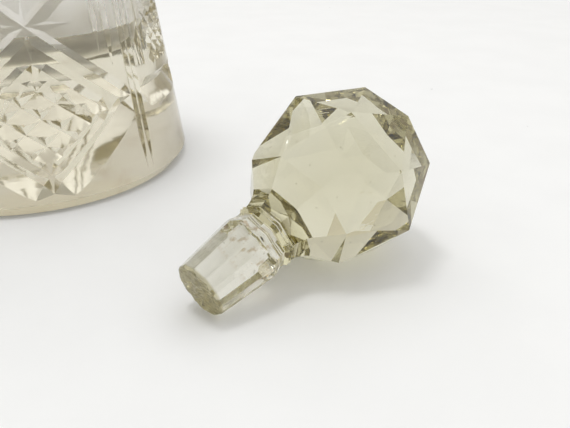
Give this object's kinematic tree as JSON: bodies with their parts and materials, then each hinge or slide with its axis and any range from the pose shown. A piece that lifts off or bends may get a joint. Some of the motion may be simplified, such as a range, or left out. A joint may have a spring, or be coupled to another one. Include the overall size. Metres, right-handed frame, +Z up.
{
  "type": "perfume bottle",
  "caption": "Cut-glass perfume bottle with a thick solid base and tapered neck bore, its faceted ball stopper lying beside it.",
  "frame": {"origin": "centre of the bottle's flat base, on the surface that the bottle stands on and the stopper lies on", "axes": "+Z up along the bottle's axis; +Y away from the viewer and +X to the viewer's right, with the stopper in front and to the right of the bottle"},
  "size_m": [0.1342, 0.1185, 0.118],
  "materials": {
    "bottle_glass": "polished cut glass, clear with a warm grey tint",
    "stopper_glass": "polished facets, ground and worn plug end, warm olive-grey tint"
  },
  "bodies": {
    "bottle_body": {"bottle": "bottle_glass"},
    "stopper_body": {"stopper": "stopper_glass"}
  },
  "joints": [
    {"name": "stopper_lift", "type": "slide", "parent": "bottle_body", "child": "stopper_body", "axis": [0, 0, 1], "range_m": [0, 0.125]}
  ]
}
